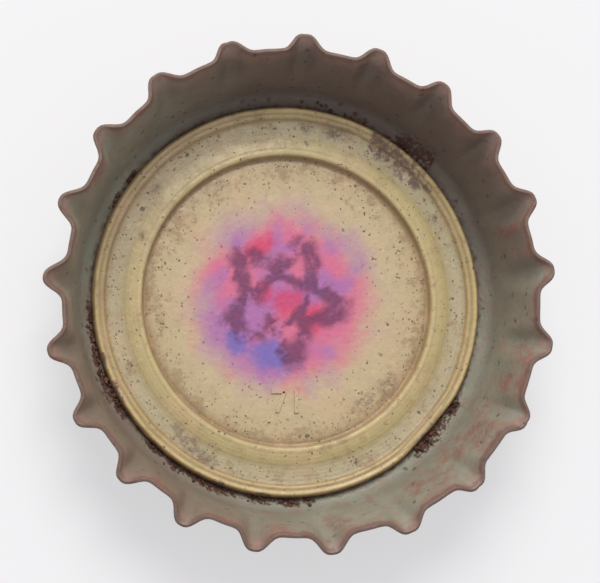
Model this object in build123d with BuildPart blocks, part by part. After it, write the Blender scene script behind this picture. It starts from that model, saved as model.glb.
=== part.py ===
"""Crown cap for a glass bottle: a pressed tinplate shell with a sealing liner moulded into it.

The cap lies on its flat panel with the toothed skirt up. Z is its axis and the origin is the
centre of the panel's outer face. All sizes are in millimetres and angles in degrees.
"""

import os
from math import cos, exp, radians, sin, sqrt, tan

from build123d import *

# ---- Shell: one disc of tinplate, drawn into a cup whose skirt is fluted into teeth
tip_diameter = 32.1  # across the tips of the teeth
cap_height = 6.0
sheet = 0.24  # thickness of the tinplate
corner_radius = 1.9  # outside radius between the panel and the skirt
skirt_lean = 17.0  # how far the skirt leans outwards between the teeth
tooth_count = 21
tooth_depth = 1.12  # how far the tips stand out past the metal between them
tooth_half_width = 0.203  # as a share of the tooth pitch, at the cut edge
root_half_width = 0.13  # as a share of the tooth pitch, where a flute begins
first_tooth = 4.5  # direction of the first tip, before any drift
flute_start = 1.9  # height at which the flutes begin
flute_ramp = 1.4  # 1 makes the crest of a flute straight, more lets it start gently
points_per_tooth = 12

# The teeth are a little crowded on two sides. Each wave: turns around the cap, degrees of
# drift, direction of its crest.
tooth_drift = ((1, 0.7, 75.0), (2, 1.7, 170.0))

# Where an opener and long use have bent the skirt. Each place: direction, half width in
# degrees, then how far the metal between the teeth and the tips have moved out at the edge.
skirt_bends = (
    (107.0, 24.0, 0.27, 0.03),
    (167.0, 19.0, -0.36, -0.20),
    (318.0, 27.0, 0.42, 0.13),
)

# ---- Liner: soft plastic, moulded on to the panel inside the shell
liner_climb = 0.65  # how far past the flat panel its edge runs up the corner
liner_clearance = 0.01  # between its edge and the corner
web_thickness = 0.22  # the thin middle
land_thickness = 0.45  # the flat ring that the bottle's lip seals on
edge_thickness = 0.16
edge_shoulder = 0.12  # width of the slope from the edge up to the outer bead
outer_bead_width = 0.68
outer_bead_height = 0.3  # above the land
land_width = 1.15
bead_slope = 0.9  # width of the inner bead's long outer slope
bead_crown = 0.22  # width of its rounded top
bead_wall = 0.24  # width of its short wall next to the web
inner_bead_height = 0.2  # above the land

# ---- Mould number on the liner's web: a seven and a one, raised
mark_height = 1.45
mark_stroke = 0.2
mark_spacing = 1.1  # from the middle of the seven to the one
mark_seven_width = 0.85
mark_relief = 0.06
mark_distance = 6.3  # from the cap's axis to the middle of the number

# ---- Worked out from the sizes above
lean = radians(skirt_lean)
corner_turn = radians(90 - skirt_lean)
corner_top = corner_radius * (1 - sin(lean))  # where the corner meets the straight skirt
skirt_foot = tip_diameter / 2 - tooth_depth - (cap_height - corner_top) * tan(lean)
panel_radius = skirt_foot - corner_radius * cos(lean)
fluted_height = cap_height - flute_start
tooth_pitch = 360 / tooth_count
web_top = sheet + web_thickness
land_top = sheet + land_thickness
liner_radius = panel_radius + liner_climb
liner_bore = corner_radius - sheet - liner_clearance
edge_foot = corner_radius - sqrt(liner_bore**2 - liner_climb**2)
outer_bead_outside = liner_radius - edge_shoulder
land_outside = outer_bead_outside - outer_bead_width
land_inside = land_outside - land_width
crown_outside = land_inside - bead_slope
crown_inside = crown_outside - bead_crown
web_radius = crown_inside - bead_wall

# Heights of the sections that the shell is lofted through: shares of the corner's turn, then
# shares of the fluted height. The hollow's cutter runs on a little past the cut edge.
corner_shares = (0.0, 0.2, 0.4, 0.6, 0.8, 1.0)
flute_shares = (0.0, 0.12, 0.3, 0.52, 0.76)
cutter_share = 1.06


def wave_at(direction, share):
    """1 on a tooth's crest, 0 between teeth. A flute is narrow at its root and widens upwards."""
    drift = sum(size * cos(radians(n * (direction - crest))) for n, size, crest in tooth_drift)
    turn = ((direction - drift - first_tooth) / tooth_pitch + 0.5) % 1 - 0.5
    half_width = root_half_width + (tooth_half_width - root_half_width) * share
    return exp(-((abs(turn) / half_width) ** 3))


def bend_at(direction, wave):
    """How far the bent places move the cut edge out, between teeth at wave 0 and on a tip at 1."""
    moved = 0
    for middle, half_width, valley_shift, tip_shift in skirt_bends:
        away = (direction - middle + 180) % 360 - 180
        strength = exp(-((away / half_width) ** 2))
        moved += strength * (valley_shift + (tip_shift - valley_shift) * wave)
    return moved


def skirt_radius(direction, height):
    """Outside radius of the skirt, flutes and bends included."""
    share = max(0.0, (height - flute_start) / fluted_height)
    wave = wave_at(direction, share)
    moved = tooth_depth * wave + bend_at(direction, wave)
    return skirt_foot + (height - corner_top) * tan(lean) + share**flute_ramp * moved


def skirt_point(direction, height, depth):
    """A point of the skirt's outer face, or of the face that lies this deep in the metal."""
    step = 0.01
    radius = skirt_radius(direction, height)
    around = skirt_radius(direction + step, height) - skirt_radius(direction - step, height)
    upwards = skirt_radius(direction, height + step) - skirt_radius(direction, height - step)
    slope_around = around / radians(2 * step) / radius
    slope_up = upwards / (2 * step)
    inwards = depth * sqrt(1 + slope_around**2 + slope_up**2) / (1 + slope_around**2)
    point = Vector(radius - inwards, inwards * slope_around, height)
    return point.rotate(Axis.Z, direction)


def corner_point(direction, share, depth):
    """A point of the rounded corner, this share of the way round it from the panel to the skirt."""
    turn = share * corner_turn
    radius = corner_radius - depth
    point = Vector(panel_radius + radius * sin(turn), 0, corner_radius - radius * cos(turn))
    return point.rotate(Axis.Z, direction)


def outline(point_at, size, depth):
    """A closed flat outline made of one spline for each tooth, as a face."""
    height = point_at(0, size, depth).Z
    with BuildSketch(Plane.XY.offset(height)) as section:
        with BuildLine():
            for tooth in range(tooth_count):
                start = first_tooth + (tooth - 0.5) * tooth_pitch
                turns = [start + tooth_pitch * i / points_per_tooth for i in range(points_per_tooth + 1)]
                Spline(*[point_at(turn, size, depth) for turn in turns])
        make_face()
    return section.sketch.face()


def cup_sections(depth, top_share):
    """Outlines of the cup's outer face, or of the face this deep in the metal, from the panel up."""
    faces = [outline(corner_point, share, depth) for share in corner_shares]
    for share in (*flute_shares, top_share):
        faces.append(outline(skirt_point, flute_start + fluted_height * share, depth))
    return faces


with BuildPart() as crown_shell:
    loft(cup_sections(0, 1.0))
    loft(cup_sections(sheet, cutter_share), mode=Mode.SUBTRACT)

with BuildPart() as sealing_liner:
    with BuildSketch(Plane.XZ):
        with BuildLine():
            bottom = Polyline((0, web_top), (0, sheet), (panel_radius, sheet), (liner_radius, edge_foot))
            edge = Line(bottom @ 1, (liner_radius, edge_foot + edge_thickness))
            shoulder = Line(edge @ 1, (outer_bead_outside, land_top))
            bead_top = (land_outside + outer_bead_width / 2, land_top + outer_bead_height)
            outer_bead = ThreePointArc(shoulder @ 1, bead_top, (land_outside, land_top))
            land = Line(outer_bead @ 1, (land_inside, land_top))
            slope = Line(land @ 1, (crown_outside, land_top + inner_bead_height))
            crown_top = (crown_outside - bead_crown / 2, land_top + inner_bead_height + bead_crown / 4)
            crown = ThreePointArc(slope @ 1, crown_top, (crown_inside, land_top + inner_bead_height))
            wall = Line(crown @ 1, (web_radius, web_top))
            Line(wall @ 1, bottom @ 0)
        make_face()
    revolve(axis=Axis.Z)
    with BuildSketch(Plane.XY.offset(web_top)):
        with Locations((mark_spacing / 2, -mark_distance)):
            Rectangle(mark_stroke, mark_height)
        with Locations((-mark_spacing / 2, -mark_distance + (mark_height - mark_stroke) / 2)):
            Rectangle(mark_seven_width, mark_stroke)
        with Locations((-mark_spacing / 2, -mark_distance)):
            Polygon(
                (mark_seven_width / 2 - mark_stroke, mark_height / 2),
                (mark_seven_width / 2, mark_height / 2),
                (0, -mark_height / 2),
                (-mark_stroke, -mark_height / 2),
                align=None,
            )
    extrude(amount=mark_relief)

crown_shell.part.label = "crown_shell"
sealing_liner.part.label = "sealing_liner"
os.makedirs("parts", exist_ok=True)
export_step(crown_shell.part, "parts/crown_shell.step")
export_step(sealing_liner.part, "parts/sealing_liner.step")
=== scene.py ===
# %% [markdown]
# # A used crown cap
# A crown cap is a disc of tinplate pressed into a cup with 21 teeth, and a plastic liner moulded
# inside it. This lesson dresses the CAD model of one: both pieces are modelled again with smooth
# surfaces and rounded edges, and then get lacquer, rust, stains and dirt.
# Everything is in metres in the CAD model's own frame: the cap lies on its panel, teeth up, with Z
# as its axis.

# %% Load the CAD model
import random
from math import atan2, cos, degrees, exp, hypot, pi, radians, sin, sqrt, tan

import bpy
from mathutils import Matrix, Vector


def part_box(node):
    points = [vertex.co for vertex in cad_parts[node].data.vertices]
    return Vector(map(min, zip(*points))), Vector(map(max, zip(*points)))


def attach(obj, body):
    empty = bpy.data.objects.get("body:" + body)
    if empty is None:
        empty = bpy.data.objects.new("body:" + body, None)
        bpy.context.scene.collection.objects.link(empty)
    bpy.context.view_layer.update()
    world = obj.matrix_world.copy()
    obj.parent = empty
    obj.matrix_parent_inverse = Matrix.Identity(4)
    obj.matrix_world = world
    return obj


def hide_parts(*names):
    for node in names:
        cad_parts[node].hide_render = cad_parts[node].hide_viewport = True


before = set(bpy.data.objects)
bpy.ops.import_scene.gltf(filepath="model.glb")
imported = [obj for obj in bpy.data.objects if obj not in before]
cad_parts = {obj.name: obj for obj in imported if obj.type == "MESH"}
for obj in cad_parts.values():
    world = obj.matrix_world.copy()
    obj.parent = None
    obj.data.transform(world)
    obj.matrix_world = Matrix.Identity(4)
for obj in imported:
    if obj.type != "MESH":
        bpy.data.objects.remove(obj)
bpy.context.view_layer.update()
shell_low, shell_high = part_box("crown_shell")
liner_low, liner_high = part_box("sealing_liner")
mm = 0.001
print("shell from", [round(v / mm, 2) for v in shell_low], "to", [round(v / mm, 2) for v in shell_high])
print("liner from", [round(v / mm, 2) for v in liner_low], "to", [round(v / mm, 2) for v in liner_high])

# %% [markdown]
# ## Choosing what to work on
# An operator acts on whatever is selected, so every step begins by choosing. Points are chosen by
# their number or by a rule about their place, as a hand would pick them by looking. A modifier is
# added with its settings and applied at once, so that the next step starts from real points.


# %% Selection and modifiers
def clear_selection():
    if bpy.context.object and bpy.context.object.mode != "OBJECT":
        bpy.ops.object.mode_set(mode="OBJECT")
    bpy.ops.object.select_all(action="DESELECT")


def open_for_edit(piece, kind="VERT"):
    clear_selection()
    piece.select_set(True)
    bpy.context.view_layer.objects.active = piece
    bpy.ops.object.mode_set(mode="EDIT")
    bpy.ops.mesh.select_mode(type=kind)
    bpy.ops.mesh.select_all(action="DESELECT")


def choose_points(piece, numbers):
    """Selects just the points with these numbers, ready for editing."""
    bpy.ops.object.mode_set(mode="OBJECT")
    mesh = piece.data
    for parts in (mesh.vertices, mesh.edges, mesh.polygons):
        parts.foreach_set("select", [False] * len(parts))
    for number in numbers:
        mesh.vertices[number].select = True
    bpy.ops.object.mode_set(mode="EDIT")


def choose(piece, wanted):
    """Selects the points that the rule wanted(x, y, z) picks, in millimetres."""
    bpy.ops.object.mode_set(mode="OBJECT")
    choose_points(piece, [p.index for p in piece.data.vertices if wanted(*(p.co / mm))])


def apply_modifier(piece, name, kind, **settings):
    clear_selection()
    piece.select_set(True)
    bpy.context.view_layer.objects.active = piece
    modifier = piece.modifiers.new(name, kind)
    for key, value in settings.items():
        setattr(modifier, key, value)
    bpy.ops.object.modifier_apply(modifier=modifier.name)


# %% [markdown]
# ## Turning a round piece ring by ring
# Both pieces are round, so both can start the same way: a circle of points, extruded and scaled
# again and again along a profile, as a potter pulls up a wall. Spinning a drawn profile would work
# too, but rings leave the points in neat rows, and a row is easy to find later when the flutes are
# pressed. Each ring is given as a radius and a height in millimetres.


# %% Rings
def scale_flat(factor):
    bpy.ops.transform.resize(value=(factor, factor, 1), center_override=(0, 0, 0))


def pull_rings(rings, radius, height):
    """Extrudes the selected ring through the (radius, height) pairs and leaves the last one selected."""
    for next_radius, next_height in rings:
        lift = (0, 0, (next_height - height) * mm)
        bpy.ops.mesh.extrude_region_move(TRANSFORM_OT_translate={"value": lift})
        scale_flat(next_radius / radius)
        radius, height = next_radius, next_height


def turned_piece(name, rings, columns, first_direction=0.0):
    """Makes an open turned surface with a column of points in first_direction."""
    clear_selection()
    radius, height = rings[0]
    bpy.ops.mesh.primitive_circle_add(
        vertices=columns, radius=radius * mm, fill_type="NOTHING", location=(0, 0, height * mm)
    )
    piece = bpy.context.object
    piece.name = name
    bpy.ops.object.transform_apply(location=True, rotation=True, scale=True)
    open_for_edit(piece)
    bpy.ops.mesh.select_all(action="SELECT")
    start = piece.data.vertices[0].co
    turn = radians(first_direction) - atan2(start.y, start.x)
    bpy.ops.transform.rotate(value=-turn, orient_axis="Z", center_override=(0, 0, 0))
    pull_rings(rings[1:], radius, height)
    bpy.ops.object.mode_set(mode="OBJECT")
    return piece


# %% [markdown]
# ## The shell's plain cup
# The press first draws the disc into a plain cup: a flat panel, a rounded corner and a skirt that
# leans out. Only the outer face is made now. The metal's thickness comes from a Solidify modifier
# once the shape is right, so that inside and outside always match. Near its cut edge the skirt
# turns out a little more, which catches the light on a real cap.

# %% Cup
teeth = 21
columns_per_tooth = 24
first_tooth = 4.5
sheet = 0.24
height = shell_high[2] / mm
corner_radius = 1.9
lean = radians(17)
tooth_depth = 1.12
tip_radius = 16.05
corner_top = corner_radius * (1 - sin(lean))
skirt_foot = tip_radius - tooth_depth - (height - corner_top) * tan(lean)
panel_radius = skirt_foot - corner_radius * cos(lean)
flute_start = 1.9
skirt_hollow = 0.13
wall_levels = (1.9, 2.3, 2.8, 3.35, 3.9, 4.45, 4.95, 5.35, 5.65, 5.85, 6.0)


def plain_radius(level):
    hollow = skirt_hollow * sin(pi * min(1.0, (level - flute_start) / (height - flute_start)) ** 1.8)
    return skirt_foot + (level - corner_top) * tan(lean) - hollow


cup = []
corner_parts = 10
for part in range(corner_parts + 1):
    turn = part / corner_parts * (pi / 2 - lean)
    cup.append((panel_radius + corner_radius * sin(turn), corner_radius * (1 - cos(turn))))
cup += [(plain_radius(level), level) for level in wall_levels]
shell = turned_piece("pressed_shell", cup, teeth * columns_per_tooth, first_tooth)

open_for_edit(shell)
choose(shell, lambda x, y, z: z < 0.001)
pull_rings([(10.2, 0), (7.4, 0), (4.2, 0), (1.4, 0)], panel_radius, 0)
bpy.ops.mesh.edge_face_add()
bpy.ops.mesh.select_all(action="SELECT")
bpy.ops.mesh.normals_make_consistent(inside=False)
bpy.ops.object.mode_set(mode="OBJECT")
if min(shell.data.polygons, key=lambda face: face.center.length).normal.z > 0:
    open_for_edit(shell)
    bpy.ops.mesh.select_all(action="SELECT")
    bpy.ops.mesh.flip_normals()
    bpy.ops.object.mode_set(mode="OBJECT")
print("cup:", len(shell.data.vertices), "points, panel radius", round(panel_radius, 2), "mm")

# %% [markdown]
# ## Pressing the flutes
# A ring of punches pushes 21 flutes out of the skirt. They could be sculpted, but they are regular,
# so columns of points are scaled outwards instead: every column at the same distance from a tooth's
# crest is moved at once, level by level. A flute is narrow at its root and widens towards the cut
# edge, and its tip ends a little lower than the metal between, because it had further to go.


# %% Flutes
root_half_width, widening = 0.13, 0.073  # of a tooth's pitch
flute_ramp = 1.4
tip_drop, drop_start, drop_length = 0.24, 5.3, 0.7
reached_columns = 9


def column_of(x, y):
    return round((degrees(atan2(y, x)) - first_tooth) / 360 * teeth * columns_per_tooth)


def steps_from_crest(x, y):
    place = column_of(x, y) % columns_per_tooth
    return min(place, columns_per_tooth - place)


def press(level, steps):
    share = (level - flute_start) / (height - flute_start)
    half_width = root_half_width + widening * share
    wave = exp(-((steps / columns_per_tooth / half_width) ** 3))
    pushed = tooth_depth * wave * share**flute_ramp
    choose(shell, lambda x, y, z: abs(z - level) < 0.02 and steps_from_crest(x, y) == steps)
    scale_flat(1 + pushed / plain_radius(level))
    if level > drop_start:
        drop = -tip_drop * wave * (level - drop_start) / drop_length * mm
        bpy.ops.transform.translate(value=(0, 0, drop))


open_for_edit(shell)
for level in wall_levels[1:]:
    for steps in range(reached_columns):
        press(level, steps)
bpy.ops.object.mode_set(mode="OBJECT")
print("across the tips:", round(2 * max(hypot(p.co.x, p.co.y) for p in shell.data.vertices) / mm, 2), "mm")

# %% [markdown]
# ## Use has bent it
# An opener has bent the skirt in places. Sculpting would do it, but a bend can also be said in
# words: where its middle is, how wide it is, and how much of it the tips take. So every point gets
# a weight, as if the weights had been brushed on, and a modifier will work through them later.


# %% Weights for the bends
def weigh(piece, group_name, weight_at):
    """Gives every point a weight from the rule weight_at(x, y, z), in millimetres."""
    group = piece.vertex_groups.new(name=group_name)
    for point in piece.data.vertices:
        group.add([point.index], weight_at(*(point.co / mm)), "REPLACE")


def near(direction, middle, half_width):
    away = (direction - middle + 180) % 360 - 180
    return exp(-((away / half_width) ** 2))


def rise(z):
    return max(0.0, (z - flute_start) / (height - flute_start)) ** flute_ramp


def bend_weight(middle, half_width, tips_share):
    """A rule for how strongly a bend around this direction takes each point of the wall."""

    def weight(x, y, z):
        between = min(1.0, steps_from_crest(x, y) / 8)
        here = rise(z) * near(degrees(atan2(y, x)), middle, half_width)
        return here * (tips_share + (1 - tips_share) * between)

    return weight


weigh(shell, "bend_107", bend_weight(107, 24, 0.1))
weigh(shell, "bend_167", bend_weight(167, 19, 0.55))
weigh(shell, "bend_318", bend_weight(318, 27, 0.3))
weigh(shell, "wall", lambda x, y, z: min(1.0, max(0.0, (z - 0.9) / 2)))
print("weights:", [group.name for group in shell.vertex_groups])

# %% [markdown]
# ## Crowded teeth
# The teeth of a used cap are no longer evenly spaced. Every column of points is turned a little
# about the axis, by an amount that drifts as a slow wave round the cap, once and twice a turn.


# %% Crowd the teeth
def drift(direction):
    return 0.7 * cos(radians(direction - 75)) + 1.7 * cos(radians(2 * (direction - 170)))


rows = {}
for point in shell.data.vertices:
    if point.co.z > 1.2 * mm:
        rows.setdefault(column_of(point.co.x, point.co.y), []).append(point.index)
open_for_edit(shell)
for column, members in rows.items():
    choose_points(shell, members)
    turn = radians(drift(first_tooth + column * 360 / teeth / columns_per_tooth))
    bpy.ops.transform.rotate(value=-turn, orient_axis="Z", center_override=(0, 0, 0))
bpy.ops.object.mode_set(mode="OBJECT")
print("columns turned:", len(rows))

# %% [markdown]
# ## Bends and gentle waves
# Displace pushes the points along one axis by their weights, once for each bend. A last, very
# gentle one follows a cloudy texture and takes away the perfect smoothness.

# %% Bends and waves
waves = bpy.data.textures.new("gentle_waves", "CLOUDS")
waves.noise_scale = 2.2 * mm
for group_name, axis, strength in (
    ("bend_107", "Y", 0.27), ("bend_167", "X", 0.36), ("bend_318", "X", 0.31), ("bend_318", "Y", -0.28)
):
    apply_modifier(
        shell, "bend", "DISPLACE", strength=strength * mm, mid_level=0, direction=axis,
        vertex_group=group_name,
    )
apply_modifier(shell, "waves", "DISPLACE", strength=0.12 * mm, texture=waves, vertex_group="wall")
print("height now:", round(max(p.co.z for p in shell.data.vertices) / mm, 3), "mm")

# %% [markdown]
# ## Thickness, a rounded cut edge and smooth shading
# Solidify adds the sheet's thickness inwards and gives the inside and the cut edge their own
# material slots, because lacquer covers the faces but not the cut. Bevel takes the sharpness off
# the two corners of the cut. With 24 columns to a tooth the flutes are round already, so smooth
# shading is enough and nothing is subdivided.

# %% Metal thickness
tin_outside, tin_inside, tin_cut = (
    bpy.data.materials.new(n) for n in ("tin_outside", "tin_inside", "tin_cut")
)
for material in (tin_outside, tin_inside, tin_cut):
    shell.data.materials.append(material)
apply_modifier(
    shell, "sheet", "SOLIDIFY", thickness=sheet * mm, offset=-1, use_even_offset=True,
    material_offset=1, material_offset_rim=2,
)
apply_modifier(shell, "soft_edge", "BEVEL", width=0.05 * mm, segments=2, limit_method="ANGLE",
               angle_limit=radians(50))
clear_selection()
shell.select_set(True)
bpy.context.view_layer.objects.active = shell
bpy.ops.object.shade_smooth_by_angle(angle=radians(45))
print("shell faces:", len(shell.data.polygons))

# %% [markdown]
# ## The liner
# The liner is a ring of soft plastic stamped by a punch, so everything on it is round: a thin web
# in the middle, a bead with a long outer slope, the flat land that seals on the glass, and a double
# bead at the edge. It is turned in one go, underside included, from the middle of the web round to
# the middle of the underside.

# %% Liner
liner_profile = [
    (0.6, 0.463), (2.5, 0.463), (4.5, 0.462), (6.5, 0.462), (8.2, 0.46), (8.72, 0.455), (8.86, 0.42),
    (8.98, 0.40), (9.08, 0.44), (9.15, 0.62), (9.2, 0.8), (9.28, 0.875), (9.38, 0.9), (9.48, 0.89),
    (9.56, 0.865), (9.66, 0.865), (9.76, 0.855), (9.95, 0.815), (10.2, 0.755), (10.33, 0.715),
    (10.42, 0.692), (10.7, 0.682), (11.0, 0.68), (11.3, 0.684), (11.42, 0.69), (11.49, 0.72), (11.56, 0.81),
    (11.64, 0.88), (11.72, 0.905), (11.8, 0.89), (11.86, 0.872), (11.92, 0.895), (11.99, 0.955),
    (12.07, 0.985), (12.16, 0.965), (12.24, 0.88), (12.3, 0.74), (12.325, 0.6), (12.32, 0.46),
    (12.25, 0.385), (12.0, 0.325), (11.69, 0.255), (11.0, 0.25), (8.0, 0.25), (4.0, 0.25), (0.6, 0.25),
]
liner = turned_piece("moulded_liner", liner_profile, 320)
open_for_edit(liner)
for level in (0.463, 0.25):
    choose(liner, lambda x, y, z: hypot(x, y) < 0.7 and abs(z - level) < 0.01)
    bpy.ops.mesh.edge_face_add()
bpy.ops.mesh.select_all(action="SELECT")
bpy.ops.mesh.normals_make_consistent(inside=False)
bpy.ops.mesh.select_all(action="DESELECT")
choose(liner, lambda x, y, z: hypot(x, y) > 12.2 and z > 0.5 and near(degrees(atan2(y, x)), 318.5, 6) > 0.6)
push = Vector((-cos(radians(318.5)), -sin(radians(318.5)), 0)) * 0.2 * mm
bpy.ops.transform.translate(
    value=push, use_proportional_edit=True, proportional_edit_falloff="SMOOTH", proportional_size=2.5 * mm
)
bpy.ops.object.mode_set(mode="OBJECT")
clear_selection()
liner.select_set(True)
bpy.context.view_layer.objects.active = liner
bpy.ops.object.shade_smooth_by_angle(angle=radians(60))
print("liner faces:", len(liner.data.polygons))

# %% [markdown]
# ## The raised number
# The punch leaves a small mould number on the web. It is two figures of plain bars. Each bar is a
# cube scaled to its size, turned, bevelled and joined to the liner, as the punch made them one.

# %% Number
bar_middle, bar_depth = 0.5, 0.12
bars = [  # middle x and y, width, length and turn of each bar
    (0.6, -6.3, 0.26, 1.45, 0), (-0.55, -5.68, 0.9, 0.26, 0), (-0.38, -6.32, 0.26, 1.42, -20),
]
for x, y, width, length, turn in bars:
    clear_selection()
    bpy.ops.mesh.primitive_cube_add(
        size=mm, location=(x * mm, y * mm, bar_middle * mm), rotation=(0, 0, radians(turn)),
    )
    bar = bpy.context.object
    bar.scale = (width, length, bar_depth)
    bpy.ops.object.transform_apply(location=True, rotation=True, scale=True)
    apply_modifier(bar, "round", "BEVEL", width=0.03 * mm, segments=2)
    clear_selection()
    bar.select_set(True)
    liner.select_set(True)
    bpy.context.view_layer.objects.active = liner
    bpy.ops.object.join()
print("liner with its number:", len(liner.data.polygons), "faces")

# %% [markdown]
# ## Crumbs of rust and dirt
# Flakes of rust have gathered in the gutter between the liner's edge and the wall. A crumb is a
# small sphere of flat faces, squashed and pushed about. No two flakes are alike, so each is made by
# itself along the runs where the dirt lies, turned and sized by chance from a fixed seed, and all
# are joined to the shell.

# %% Crumbs
random.seed(7)
rust_crumb = bpy.data.materials.new("rust_crumb")
runs = [
    (184, 216, 46), (226, 252, 30), (258, 278, 24), (312, 320, 26), (326, 331, 9), (140, 152, 8),
    (42, 60, 24), (66, 88, 10),
]
crumbs = []
for start, end, count in runs:
    for number in range(count):
        direction = radians(random.uniform(start, end))
        reach = random.gauss(12.5, 0.14)
        size = random.uniform(0.05, 0.17) * (1.25 if 198 < degrees(direction) < 216 or start == 312 else 1)
        from_corner = min(1.5, max(0.7, reach - panel_radius))
        floor_height = corner_radius - sqrt((corner_radius - sheet) ** 2 - from_corner**2)
        clear_selection()
        bpy.ops.mesh.primitive_ico_sphere_add(
            subdivisions=1, radius=size * mm, rotation=[random.uniform(0, pi) for _ in range(3)],
            location=(
                reach * cos(direction) * mm, reach * sin(direction) * mm, (floor_height + size * 0.6) * mm,
            ),
        )
        crumb = bpy.context.object
        crumb.scale = (random.uniform(0.7, 1.5), random.uniform(0.6, 1.1), random.uniform(0.45, 0.9))
        bpy.ops.object.transform_apply(location=True, rotation=True, scale=True)
        open_for_edit(crumb)
        bpy.ops.mesh.select_all(action="SELECT")
        bpy.ops.transform.vertex_random(offset=size * 0.25 * mm, seed=number)
        bpy.ops.object.mode_set(mode="OBJECT")
        crumb.data.materials.append(rust_crumb)
        crumbs.append(crumb)
clear_selection()
for crumb in crumbs:
    crumb.select_set(True)
shell.select_set(True)
bpy.context.view_layer.objects.active = shell
bpy.ops.object.join()
print("crumbs:", len(crumbs), "shell faces now:", len(shell.data.polygons))

# %% [markdown]
# ## Small tools for materials
# A material is a tree of nodes. These helpers add one node, fill its inputs and wire it, so that
# the cells below read like a recipe. Colours are written as they look on a screen, from 0 to 255.


# %% Node helpers
def colour(red, green, blue):
    channels = [c / 255 for c in (red, green, blue)]
    return (*[c / 12.92 if c < 0.04 else ((c + 0.055) / 1.055) ** 2.4 for c in channels], 1)


def fill(tree, node, inputs):
    """Sets each named input to a value, or wires it to a socket."""
    for key, value in inputs.items():
        if isinstance(value, bpy.types.NodeSocket):
            tree.links.new(value, node.inputs[key])
        else:
            node.inputs[key].default_value = value
    return node


def add(tree, kind, inputs=None, **settings):
    node = tree.nodes.new("ShaderNode" + kind)
    for key, value in settings.items():
        setattr(node, key, value)
    return fill(tree, node, inputs or {})


def calc(tree, operation, *values):
    return add(tree, "Math", dict(enumerate(values)), operation=operation).outputs[0]


def vector_calc(tree, operation, first, second=None):
    """Vector arithmetic. The second value is a vector, or a number for SCALE, or nothing for LENGTH."""
    inputs = {0: first}
    if second is not None:
        inputs["Scale" if operation == "SCALE" else 1] = second
    node = add(tree, "VectorMath", inputs, operation=operation)
    return node.outputs["Value" if operation in ("LENGTH", "DOT_PRODUCT") else "Vector"]


def step(tree, value, start, end):
    """0 at start and 1 at end, smoothly."""
    inputs = {"Value": value, "From Min": start, "From Max": end}
    return add(tree, "MapRange", inputs, interpolation_type="SMOOTHSTEP").outputs[0]


def over(tree, mask, under, top, strength=1.0):
    """Lays the top colour over the one under it where the mask is 1, as strongly as asked."""
    if strength < 1:
        mask = calc(tree, "MULTIPLY", mask, strength)
    return add(tree, "Mix", {0: mask, 6: under, 7: top}, data_type="RGBA").outputs[2]


def noise(tree, place, size, detail=4, roughness=0.6):
    inputs = {"Vector": place, "Scale": 1 / size, "Detail": detail, "Roughness": roughness}
    return add(tree, "TexNoise", inputs).outputs["Fac"]


def any_of(tree, masks):
    total = masks[0]
    for mask in masks[1:]:
        total = calc(tree, "MAXIMUM", total, mask)
    return total

# %% [markdown]
# ## Small tools for node groups
# A node group is a tree with named inputs that materials share. One helper opens a group, one
# closes it, and one places it in a tree with its own values.


# %% Group helpers
def new_group(name, inputs):
    group = bpy.data.node_groups.new(name, "ShaderNodeTree")
    for socket_name, kind, value in inputs:
        socket = group.interface.new_socket(name=socket_name, in_out="INPUT", socket_type="NodeSocket" + kind)
        if value is not None:
            socket.default_value = value
    group.interface.new_socket(name="Mask", in_out="OUTPUT", socket_type="NodeSocketFloat")
    return group, group.nodes.new("NodeGroupInput").outputs


def finish_group(group, mask):
    group.links.new(mask, group.nodes.new("NodeGroupOutput").inputs[0])
    print("group", group.name, "has", len(group.nodes), "nodes")


def use(tree, group, **inputs):
    node = tree.nodes.new("ShaderNodeGroup")
    node.node_tree = group
    return fill(tree, node, inputs).outputs[0]


# %% [markdown]
# ## Three shared effects
# Rust, dirt, specks and ink all come down to three kinds of mask, so each is built once as a node
# group and used many times with other values. A speckle scatters small ragged dots. A patch is
# cloudy cover that grows from nothing to everywhere. A blot is one ragged oval at a chosen place,
# which is how each stain that sits where it sits gets put there.

# %% Speckle
speckle, given = new_group(
    "speckle", [("Place", "Vector", None), ("Size", "Float", 0.3), ("Share", "Float", 0.3)],
)
wobble = add(speckle, "TexNoise", {"Vector": given["Place"], "Scale": 4.0, "Detail": 3})
shifted = vector_calc(speckle, "SUBTRACT", wobble.outputs["Color"], (0.5, 0.5, 0.5))
shifted = vector_calc(speckle, "SCALE", shifted, 0.35)
shifted = vector_calc(speckle, "ADD", shifted, given["Place"])
density = calc(speckle, "DIVIDE", 1.0, given["Size"])
cells = add(speckle, "TexVoronoi", {"Vector": shifted, "Scale": density})
luck = add(speckle, "SeparateColor", {0: cells.outputs["Color"]}).outputs
reach = calc(speckle, "MULTIPLY_ADD", luck[1], 0.3, 0.1)
dot = step(speckle, calc(speckle, "SUBTRACT", cells.outputs["Distance"], reach), 0.1, -0.05)
kept = step(speckle, calc(speckle, "SUBTRACT", luck[0], given["Share"]), 0.04, -0.04)
finish_group(speckle, calc(speckle, "MULTIPLY", dot, kept))

# %% [markdown]
# ## A patch
# Cloudy noise is high in some places and low in others. Everything above a threshold is covered,
# and the threshold falls as the cover grows.

# %% Patch
patch, given = new_group(
    "patch", [("Place", "Vector", None), ("Size", "Float", 1.0), ("Cover", "Float", 0.5)],
)
inverse = calc(patch, "DIVIDE", 1.0, given["Size"])
cloud_inputs = {"Vector": given["Place"], "Scale": inverse, "Detail": 6, "Roughness": 0.68}
cloud = add(patch, "TexNoise", cloud_inputs).outputs["Fac"]
lack = calc(patch, "MULTIPLY_ADD", given["Cover"], -0.6, 0.8)
finish_group(patch, step(patch, calc(patch, "SUBTRACT", cloud, lack), -0.05, 0.06))

# %% [markdown]
# ## A blot
# A Mapping node moves, turns and stretches the place until the blot is a ball of radius 1 at the
# origin. Then the distance from there, roughened with noise, says what is inside.

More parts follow.
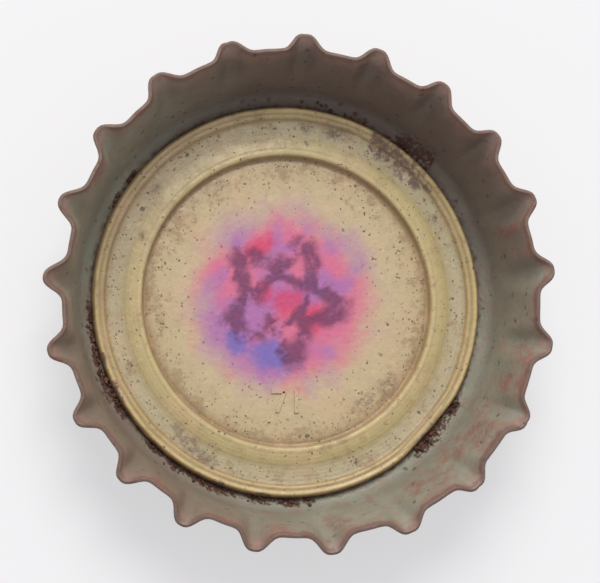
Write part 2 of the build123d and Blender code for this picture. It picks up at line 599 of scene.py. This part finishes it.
# %% Blot
blot, given = new_group(
    "blot",
    [("Place", "Vector", None), ("Centre", "Vector", None), ("Turn", "Vector", None), ("Size", "Vector", None),
     ("Ragged", "Float", 0.6), ("Grain", "Float", 0.5), ("Soft", "Float", 0.3)],
)
mapping = {
    "Vector": given["Place"], "Location": given["Centre"], "Rotation": given["Turn"], "Scale": given["Size"],
}
inside = add(blot, "Mapping", mapping, vector_type="TEXTURE")
away = vector_calc(blot, "LENGTH", inside.outputs[0])
fine = calc(blot, "DIVIDE", 1.0, given["Grain"])
torn_inputs = {"Vector": given["Place"], "Scale": fine, "Detail": 4, "Roughness": 0.65}
torn = add(blot, "TexNoise", torn_inputs).outputs["Fac"]
torn = calc(blot, "MULTIPLY", calc(blot, "SUBTRACT", torn, 0.5), given["Ragged"])
edge = calc(blot, "MULTIPLY_ADD", torn, 4.0, away)
outer = calc(blot, "ADD", 1.0, given["Soft"])
inner = calc(blot, "SUBTRACT", 1.0, given["Soft"])
finish_group(blot, step(blot, edge, outer, inner))

# %% [markdown]
# ## Many blots, and a material's beginning and end
# Stains come as lists of blots round the axis. Every material starts from its place in millimetres
# and its distance from the axis, and ends with a colour, a roughness and a bump.


# %% Blots, start and finish
def blots(tree, place, spots, height=0.7, **settings):
    """Spots are (direction, radius, length along the ring, width across it), degrees and millimetres."""
    masks = []
    for direction, radius, length, width in spots:
        centre = (radius * cos(radians(direction)), radius * sin(radians(direction)), height)
        turn, size = (0, 0, radians(direction)), (width / 2, length / 2, 2.5)
        masks.append(use(tree, blot, Place=place, Centre=centre, Turn=turn, Size=size, **settings))
    return any_of(tree, masks)


def start_material(material):
    """Clears the tree and gives it a shader, and returns the place in mm and the distance from the axis."""
    material.use_nodes = True
    tree = material.node_tree
    tree.nodes.clear()
    shader = add(tree, "BsdfPrincipled")
    tree.links.new(shader.outputs[0], add(tree, "OutputMaterial").inputs["Surface"])
    place = add(tree, "TexCoord").outputs["Object"]
    place = vector_calc(tree, "SCALE", place, 1 / mm)
    flat = vector_calc(tree, "MULTIPLY", place, (1, 1, 0))
    radius = vector_calc(tree, "LENGTH", flat)
    return tree, shader, place, radius


def finish_material(tree, shader, base, roughness, relief, depth):
    tree.links.new(base, shader.inputs["Base Color"])
    tree.links.new(roughness, shader.inputs["Roughness"])
    bump = add(tree, "Bump", {"Height": relief, "Distance": depth * mm})
    tree.links.new(bump.outputs[0], shader.inputs["Normal"])
    print("material finished with", len(tree.nodes), "nodes")


# %% [markdown]
# ## Lacquered inside of the shell
# Inside, the tin has a grey-green lacquer. Age has made it blotchy, rust comes through it in reddish
# patches on one side, a brown film creeps down from the cut edge, and dirt sits where the wall
# meets the liner. The wall on the far side, nearest the lamp, is painted darker and browner as
# painted shade. Each of these is one colour laid over the last with one mask.

# %% Inside of the shell
tree, shader, place, radius = start_material(tin_inside)
level = add(tree, "SeparateXYZ", {0: place}).outputs[2]
base = over(tree, noise(tree, place, 2.4), colour(119, 117, 103), colour(158, 155, 138))
base = over(tree, use(tree, patch, Place=place, Size=1.1, Cover=0.42), base, colour(142, 129, 112))
# Painted shade: the wall on the far side, nearest the lamp, whose inner face is turned away from it, is
# painted darker and browner.
far_side_painted_shade = vector_calc(tree, "DOT_PRODUCT", place, (0.4, 0.92, 0))
far_side_painted_shade = calc(tree, "MULTIPLY_ADD", noise(tree, place, 2.0), 6.0, calc(tree, "SUBTRACT", far_side_painted_shade, 3.0))
base = over(tree, step(tree, far_side_painted_shade, 2.0, 14.0), base, colour(97, 81, 75), 0.85)
near_side = vector_calc(tree, "DOT_PRODUCT", place, (-0.75, -0.66, 0))
near_side = calc(tree, "MULTIPLY_ADD", noise(tree, place, 1.2, 5), 8.0, near_side)
base = over(tree, step(tree, near_side, 12.0, 18.5), base, colour(116, 92, 80), 0.62)
film = calc(tree, "MULTIPLY_ADD", noise(tree, place, 1.0), 2.4, calc(tree, "SUBTRACT", level, 6.6))
base = over(tree, step(tree, film, -0.5, 0.9), base, colour(140, 112, 98))
lip = calc(tree, "MULTIPLY_ADD", noise(tree, place, 0.6), 0.8, calc(tree, "SUBTRACT", level, 6.1))
base = over(tree, step(tree, lip, -0.1, 0.25), base, colour(118, 92, 82))
print("lacquer:", len(tree.nodes), "nodes")

# %% [markdown]
# ## Rust and dirt inside
# Rust and dirt sit where water stood, so both are lists of blots. Noise breaks them into flakes.
# They are rougher than the lacquer and stand a little proud of it.

# %% Rust and dirt inside
rust_spots = [
    (303, 13.9, 1.6, 0.9), (309, 14.3, 1.9, 1.2), (317, 13.6, 2.4, 1.1), (324, 14.2, 2.2, 1.3),
    (331, 13.8, 1.6, 0.9), (338, 14.4, 1.5, 1.2), (346, 14.6, 1.2, 1.2), (12, 14.6, 1.2, 1.0),
    (18, 14.0, 0.9, 0.7), (280, 14.2, 1.6, 0.7), (265, 14.4, 1.1, 0.6), (292, 13.4, 1.0, 0.5),
    (234, 14.6, 1.5, 0.5), (251, 14.7, 1.6, 0.5), (150, 14.4, 1.6, 0.7),
]
rust = blots(tree, place, rust_spots, height=4.0, Ragged=0.7, Grain=0.8, Soft=0.6)
rust = calc(tree, "MULTIPLY", rust, step(tree, noise(tree, place, 0.7, 6, 0.75), 0.36, 0.62))
base = over(
    tree, rust, base, over(tree, noise(tree, place, 0.4), colour(120, 84, 70), colour(156, 92, 76)), 0.75,
)
specks = use(tree, speckle, Place=place, Size=0.42, Share=0.1)
base = over(tree, specks, base, colour(74, 52, 44), 0.6)
foot = calc(tree, "MULTIPLY_ADD", noise(tree, place, 0.5), 1.0, calc(tree, "SUBTRACT", 12.15, radius))
base = over(tree, step(tree, foot, 0.0, 0.45), base, colour(78, 56, 42), 0.85)
dirt_runs = [
    (184, 12.55, 1.4, 0.35), (191, 12.5, 1.2, 0.3), (198, 12.6, 1.6, 0.45), (207, 12.6, 2.3, 0.7),
    (213, 12.6, 1.6, 0.55), (228, 12.55, 1.4, 0.4), (236, 12.6, 1.2, 0.5), (243, 12.5, 1.6, 0.4),
    (250, 12.6, 2.2, 0.55), (262, 12.6, 1.6, 0.5), (271, 12.6, 1.4, 0.6), (276, 12.6, 0.8, 0.4),
    (316, 12.6, 2.2, 0.75), (329, 12.6, 1.3, 0.55), (322, 12.5, 1.6, 0.5), (150, 12.5, 1.2, 0.3),
    (142, 12.5, 1.0, 0.3), (52, 12.7, 1.8, 0.9), (47, 12.9, 1.2, 0.8),
]
dirt = blots(tree, place, dirt_runs, height=0.6, Ragged=0.9, Grain=0.35, Soft=0.25)
dirt = calc(tree, "MULTIPLY", dirt, step(tree, noise(tree, place, 0.32, 6, 0.75), 0.38, 0.52))
base = over(tree, dirt, base, over(tree, noise(tree, place, 0.25), colour(58, 34, 28), colour(98, 58, 40)))
roughness = calc(
    tree, "MULTIPLY_ADD", any_of(tree, [rust, dirt, specks]), 0.35,
    calc(tree, "MULTIPLY_ADD", noise(tree, place, 0.9), 0.2, 0.36),
)
relief = calc(tree, "MULTIPLY_ADD", any_of(tree, [rust, dirt]), 0.6, noise(tree, place, 0.3, 6, 0.7))
finish_material(tree, shader, base, roughness, relief, 0.05)
shader.inputs["Metallic"].default_value = 0.15

# %% [markdown]
# ## Cut edge and outside
# The cut edge never had lacquer, so it is rusty all the way round. The outside is plain aged tin
# with fine scratches, dull spots and rust that starts on the flutes and the edge.

# %% Cut edge and outside
tree, shader, place, radius = start_material(tin_cut)
base = over(tree, noise(tree, place, 0.7), colour(86, 70, 62), colour(132, 113, 99))
base = over(tree, use(tree, patch, Place=place, Size=0.5, Cover=0.4), base, colour(112, 76, 62))
finish_material(
    tree, shader, base, calc(tree, "MULTIPLY_ADD", noise(tree, place, 0.4), 0.3, 0.6),
    noise(tree, place, 0.15), 0.03,
)

tree, shader, place, radius = start_material(rust_crumb)
base = over(tree, step(tree, noise(tree, place, 0.5), 0.35, 0.65), colour(52, 32, 28), colour(112, 70, 50))
finish_material(
    tree, shader, base, calc(tree, "MULTIPLY_ADD", noise(tree, place, 0.3), 0.16, 0.78),
    noise(tree, place, 0.08), 0.03,
)

tree, shader, place, radius = start_material(tin_outside)
level = add(tree, "SeparateXYZ", {0: place}).outputs[2]
base = over(tree, noise(tree, place, 3.0), colour(150, 150, 144), colour(176, 175, 168))
along_the_rolling = {"Vector": place, "Scale": (0.12, 6.0, 1.0), "Rotation": (0, 0, 0.5)}
stretched = add(tree, "Mapping", along_the_rolling).outputs[0]
scratches = step(tree, noise(tree, stretched, 1.0, 2), 0.66, 0.72)
base = over(tree, scratches, base, colour(196, 196, 190), 0.5)
dull = use(tree, patch, Place=place, Size=1.6, Cover=0.36)
base = over(tree, dull, base, colour(118, 112, 102), 0.6)
climb = calc(tree, "MULTIPLY_ADD", level, 0.055, 0.2)
rust = use(tree, patch, Place=place, Size=0.9, Cover=climb)
base = over(tree, rust, base, over(tree, noise(tree, place, 0.3), colour(96, 56, 42), colour(152, 92, 62)))
pits = use(tree, speckle, Place=place, Size=0.6, Share=0.12)
base = over(tree, pits, base, colour(88, 60, 46))
rough = calc(
    tree, "MULTIPLY_ADD", any_of(tree, [rust, dull, pits]), 0.4,
    calc(tree, "MULTIPLY_ADD", noise(tree, place, 0.8), 0.16, 0.26),
)
relief = calc(
    tree, "MULTIPLY_ADD", rust, 0.5, calc(tree, "MULTIPLY_ADD", scratches, -0.3, noise(tree, place, 0.35)),
)
finish_material(tree, shader, base, rough, relief, 0.03)
tree.links.new(
    calc(tree, "MULTIPLY_ADD", any_of(tree, [rust, dull, pits]), -0.8, 0.85), shader.inputs["Metallic"],
)

# %% [markdown]
# ## The liner's plastic
# The plastic was once clear white and has yellowed. It is golden where it is thick, on the beads,
# and paler where it is thin over the tin, so its colour follows the distance from the axis, as a
# colour ramp in rings. The ramp also holds painted light: the brighter rings on the crests of the
# beads are painted highlights, and the dark rings in the grooves and in the crease of the double
# bead are painted shade. Brown dirt lies in the groove beside the web too, dark specks are all
# over, and a few stains sit where water stood.

# %% Liner rings
aged_plastic = bpy.data.materials.new("aged_plastic")
liner.data.materials.append(aged_plastic)
tree, shader, place, radius = start_material(aged_plastic)
unsteady = calc(tree, "MULTIPLY_ADD", calc(tree, "SUBTRACT", noise(tree, place, 1.2), 0.5), 0.22, radius)
ramp_reach = 13.0
ramp = add(tree, "ValToRGB", {0: calc(tree, "DIVIDE", unsteady, ramp_reach)})
# Partly the yellowed plastic, partly painted light: the bright rings on the bead crests are painted
# highlights, and the dark rings in the grooves and the crease are painted shade.
ring_colours_and_painted_light = [
    (0.0, (190, 168, 132)), (6.5, (188, 168, 132)), (8.4, (180, 160, 122)), (8.8, (162, 140, 102)),
    (8.93, (138, 112, 78)), (9.1, (148, 122, 84)), (9.22, (168, 147, 100)), (9.4, (190, 172, 124)),
    (9.62, (174, 154, 106)), (9.72, (182, 164, 117)), (10.1, (176, 158, 108)), (10.38, (164, 148, 108)),
    (10.6, (168, 155, 120)), (11.1, (172, 160, 127)), (11.36, (162, 147, 112)), (11.5, (138, 112, 72)),
    (11.64, (176, 154, 106)), (11.78, (170, 148, 102)), (11.87, (142, 116, 76)),
    (11.98, (184, 162, 112)), (12.12, (188, 166, 114)), (12.24, (150, 120, 78)), (12.32, (92, 68, 48)),
]
stops = ramp.color_ramp.elements
stops[0].position, stops[0].color = 0.0, colour(*ring_colours_and_painted_light[0][1])
stops[1].position, stops[1].color = 1.0, colour(*ring_colours_and_painted_light[-1][1])
for ring_radius, ring_colour in ring_colours_and_painted_light[1:]:
    stops.new(ring_radius / ramp_reach).color = colour(*ring_colour)
base = ramp.outputs[0]
warm = step(tree, noise(tree, place, 2.6), 0.45, 0.7)
base = over(tree, warm, base, colour(196, 160, 128), 0.35)
cloudy = step(tree, noise(tree, place, 0.7, 5), 0.35, 0.75)
base = over(tree, cloudy, base, colour(148, 136, 104), 0.3)
old = step(tree, noise(tree, place, 1.6, 6, 0.7), 0.5, 0.72)
base = over(
    tree, calc(tree, "MULTIPLY", old, calc(tree, "MULTIPLY_ADD", step(tree, radius, 7.0, 10.0), 0.5, 0.16)),
    base, colour(138, 108, 74),
)
shaded_side = vector_calc(tree, "DOT_PRODUCT", place, (-0.8, 0.6, 0))
shaded_side = calc(tree, "MULTIPLY_ADD", noise(tree, place, 1.4, 5), 5.0, shaded_side)
base = over(tree, step(tree, shaded_side, 9.0, 15.0), base, colour(140, 117, 90), 0.5)
pale = step(tree, noise(tree, place, 0.45, 5, 0.7), 0.56, 0.68)
base = over(tree, pale, base, colour(206, 198, 172), 0.22)
print("ring colours:", len(ring_colours_and_painted_light))

# %% [markdown]
# ## Specks, stains and dirt on the liner
# The specks are thicker on the land and along the rim of the web, so their share grows there. The
# larger stains are blots laid by direction and radius.

# %% Liner dirt
by_rim = calc(tree, "MULTIPLY", step(tree, radius, 6.8, 8.7), step(tree, radius, 9.1, 8.9))
on_land = calc(tree, "MULTIPLY", step(tree, radius, 10.4, 10.7), step(tree, radius, 11.5, 11.3))
share = calc(tree, "MULTIPLY_ADD", calc(tree, "ADD", by_rim, on_land), 0.26, 0.1)
specks = use(tree, speckle, Place=place, Size=0.19, Share=calc(tree, "MULTIPLY", share, 1.6))
large_specks = use(tree, speckle, Place=place, Size=0.4, Share=calc(tree, "MULTIPLY", share, 0.3))
uneven = calc(tree, "MULTIPLY_ADD", step(tree, noise(tree, place, 0.9, 4), 0.4, 0.58), 0.65, 0.22)
base = over(
    tree, calc(tree, "MULTIPLY", any_of(tree, [specks, large_specks]), uneven), base, colour(80, 62, 50),
)
sooty = use(tree, patch, Place=place, Size=0.8, Cover=calc(tree, "MULTIPLY_ADD", by_rim, 0.26, 0.22))
base = over(tree, sooty, base, colour(132, 102, 74), 0.45)
stains_spots = [
    (236, 10.9, 2.6, 0.9), (242, 11.2, 1.6, 0.7), (230, 10.7, 1.2, 0.6), (157, 10.0, 0.7, 0.4),
    (30, 10.8, 0.7, 0.6), (74, 11.2, 2.0, 0.8), (84, 11.1, 1.0, 0.6), (322, 8.2, 1.5, 0.9),
    (309, 7.9, 1.3, 0.8), (140, 10.9, 0.8, 0.4),
]
stains = blots(tree, place, stains_spots, Ragged=0.7, Grain=0.4, Soft=0.75)
stains = calc(tree, "MULTIPLY", stains, step(tree, noise(tree, place, 0.3, 5, 0.75), 0.34, 0.62))
base = over(tree, stains, base, colour(104, 82, 72), 0.75)
crust_spots = [
    (58, 11.4, 1.5, 1.1), (54, 12.0, 1.7, 1.2), (50, 11.5, 1.1, 1.6), (46, 11.9, 1.2, 1.0),
    (43, 11.3, 0.9, 0.8), (61, 11.9, 1.0, 1.0), (40, 11.6, 0.8, 0.5), (208, 12.2, 1.4, 0.4),
    (250, 12.25, 1.6, 0.3), (262, 12.25, 1.0, 0.3), (317, 12.2, 1.4, 0.5), (198, 12.2, 1.2, 0.3),
]
crust = blots(tree, place, crust_spots, Ragged=0.9, Grain=0.5, Soft=0.5)
crust = calc(tree, "MULTIPLY", crust, step(tree, noise(tree, place, 0.42, 5, 0.7), 0.34, 0.56))
base = over(
    tree, crust, base, over(tree, noise(tree, place, 0.3), colour(66, 46, 46), colour(122, 94, 86)), 0.88,
)
print("liner with its dirt:", len(tree.nodes), "nodes")

# %% [markdown]
# ## An inked sign, all but washed out
# Somebody stamped the web with ink that has since bled: plum strokes, with red and blue in them,
# inside a soft pink and violet halo. The sign here is a plain rosette of five petals around a ring.
# In polar terms a petal outline is a circle whose radius swells five times per turn.

# %% Ink
ink_place = vector_calc(tree, "ADD", place, (0.25, -0.12, 0))
bleed = add(tree, "TexNoise", {"Vector": place, "Scale": 0.9, "Detail": 4}).outputs["Color"]
bleed = vector_calc(tree, "SUBTRACT", bleed, (0.5, 0.5, 0.5))
bleed = vector_calc(tree, "SCALE", bleed, 1.3)
ink_place = vector_calc(tree, "ADD", ink_place, bleed)
ink_flat = vector_calc(tree, "MULTIPLY", ink_place, (1, 1, 0))
ink_radius = vector_calc(tree, "LENGTH", ink_flat)
ink_axes = add(tree, "SeparateXYZ", {0: ink_flat}).outputs
ink_turn = calc(tree, "ARCTAN2", ink_axes[1], ink_axes[0])
swell = calc(tree, "COSINE", calc(tree, "MULTIPLY_ADD", ink_turn, 5.0, 0.6))
petals = calc(tree, "MULTIPLY_ADD", swell, 0.8, 2.8)
petal_line = step(tree, calc(tree, "ABSOLUTE", calc(tree, "SUBTRACT", ink_radius, petals)), 1.25, 0.3)
ring_line = step(tree, calc(tree, "ABSOLUTE", calc(tree, "SUBTRACT", ink_radius, 1.5)), 0.5, 0.1)
faded = step(tree, noise(tree, place, 1.5, 3), 0.34, 0.54)
strokes = calc(tree, "MULTIPLY", any_of(tree, [petal_line, ring_line]), faded)
halo = calc(tree, "MULTIPLY_ADD", noise(tree, place, 1.8, 3), -2.6, calc(tree, "SUBTRACT", 8.1, ink_radius))
halo = step(tree, halo, -0.3, 3.0)
halo_colour = over(
    tree, step(tree, noise(tree, place, 3.2, 2), 0.42, 0.6), colour(160, 88, 158), colour(200, 88, 132),
)
base = over(tree, halo, base, halo_colour, 0.88)
blue_spots = [
    (255, 3.6, 3.2, 1.6), (222, 4.2, 1.6, 1.2),
]
blue = blots(tree, place, blue_spots, Ragged=0.5, Grain=1.2, Soft=0.5)
base = over(tree, blue, base, colour(92, 92, 168), 0.75)
red_spots = [
    (118, 3.8, 2.2, 1.2), (330, 1.9, 2.0, 2.0), (160, 1.6, 1.4, 1.2), (0, 0.2, 2.0, 2.0),
]
red = blots(tree, place, red_spots, Ragged=0.5, Grain=1.0, Soft=0.5)
base = over(tree, red, base, colour(196, 40, 78), 0.7)
base = over(tree, strokes, base, colour(92, 34, 76), 0.84)
print("liner with its ink:", len(tree.nodes), "nodes")

# %% [markdown]
# ## The liner's sheen
# Stamped plastic keeps the fine turning marks of its punch, which show as thin bright rings. They
# are a wave of the distance from the axis, as a bump only, with a little grain.

# %% Liner surface
turning = calc(
    tree, "MULTIPLY", calc(tree, "SINE", calc(tree, "MULTIPLY", radius, 26.0)), step(tree, radius, 9.1, 9.3),
)
relief = calc(
    tree, "MULTIPLY_ADD", turning, 0.05,
    calc(tree, "MULTIPLY_ADD", any_of(tree, [crust, stains]), 0.5, noise(tree, place, 0.35, 5)),
)
rough = calc(
    tree, "MULTIPLY_ADD", any_of(tree, [crust, stains, specks]), 0.35,
    calc(tree, "MULTIPLY_ADD", cloudy, 0.2, 0.34),
)
finish_material(tree, shader, base, rough, relief, 0.04)

# %% [markdown]
# ## Camera
# The camera looks almost straight down from a long way off, with a long lens, so that the near and
# the far teeth are almost the same size. It is placed by a tilt from straight down and a bearing.

# %% Camera
tilt = radians(11.88)
bearing = radians(209.6)
aim = Vector((0, 0, 3 * mm))
camera_distance = 0.18
towards = Vector((sin(tilt) * cos(bearing), sin(tilt) * sin(bearing), cos(tilt)))
camera_data = bpy.data.cameras.new("camera")
camera = bpy.data.objects.new("camera", camera_data)
bpy.context.scene.collection.objects.link(camera)
across = Vector((0, 1, 0)).cross(towards).normalized()
upwards = towards.cross(across)
turned = Matrix((across, upwards, towards)).transposed().to_4x4()
camera.matrix_world = Matrix.Translation(aim + towards * camera_distance) @ turned
camera_data.lens = 174.3
camera_data.shift_x = 0.0100
camera_data.shift_y = 0.0099
camera_data.clip_start = 0.01
bpy.context.scene.camera = camera
print("camera at", [round(v, 3) for v in camera.matrix_world.translation])

# %% [markdown]
# ## Floor
# The floor is a plain pale sheet. It glows partly in its own colour to the camera and in
# reflections, so it stays pale and still keeps the cap's shadow.


# %% Floor
def backdrop_rays(tree):
    """1 for rays that show the backdrop as it is: the camera's own, reflected and transmitted ones."""
    rays = add(tree, "LightPath").outputs
    return any_of(tree, [rays["Is Camera Ray"], rays["Is Glossy Ray"], rays["Is Transmission Ray"]])


clear_selection()
bpy.ops.mesh.primitive_plane_add(size=1.2, location=(0, 0, 0))
floor = bpy.context.object
floor.name = "floor"
floor_paint = bpy.data.materials.new("floor_paint")
floor.data.materials.append(floor_paint)
tree, shader, _, _ = start_material(floor_paint)
shader.inputs["Roughness"].default_value = 0.9
shader.inputs["Base Color"].default_value = (0.84, 0.835, 0.84, 1)
glow = add(tree, "Emission", {"Color": (0.86, 0.85, 0.86, 1), "Strength": 1.0})
both = add(
    tree, "MixShader",
    {0: calc(tree, "MULTIPLY", backdrop_rays(tree), 0.6), 1: shader.outputs[0], 2: glow.outputs[0]},
)
result = next(node for node in tree.nodes if node.type == "OUTPUT_MATERIAL")
tree.links.new(both.outputs[0], result.inputs["Surface"])
print("floor paint:", len(tree.nodes), "nodes")

# %% [markdown]
# ## Light
# One large soft lamp beyond the far side of the cap lights it, so the wall nearest the lamp shades
# part of the liner. A dim world fills the shadows, and shows white to the camera.


# %% Light
def soft_lamp(name, place, size, power, colour):
    data = bpy.data.lights.new(name, "AREA")
    data.shape = "DISK"
    data.size = size
    data.energy = power
    data.color = colour
    lamp = bpy.data.objects.new(name, data)
    bpy.context.scene.collection.objects.link(lamp)
    lamp.location = place
    lamp.rotation_euler = (Vector(place) * -1).to_track_quat("-Z", "Y").to_euler()


soft_lamp("window", (-0.03, 0.38, 0.42), 0.36, 3.0, (1, 0.985, 0.97))
world = bpy.data.worlds.new("room")
bpy.context.scene.world = world
world.use_nodes = True
background = world.node_tree.nodes["Background"]
background.inputs["Color"].default_value = (0.94, 0.95, 1, 1)
room_light = 0.57
strength = calc(world.node_tree, "MULTIPLY_ADD", backdrop_rays(world.node_tree), 1 - room_light, room_light)
world.node_tree.links.new(strength, background.inputs["Strength"])
bpy.context.scene.view_settings.view_transform = "Standard"
print("lamps:", len(bpy.data.lights), "room light:", room_light)

# %% [markdown]
# ## Handing over
# Each piece rides on the model's only body and takes its CAD node's place.

# %% Hand over
for piece, node_name, slot_name in (
    (shell, "crown_shell", "tinplate"),
    (liner, "sealing_liner", "liner_plastic"),
):
    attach(piece, "root")
    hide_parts(node_name)
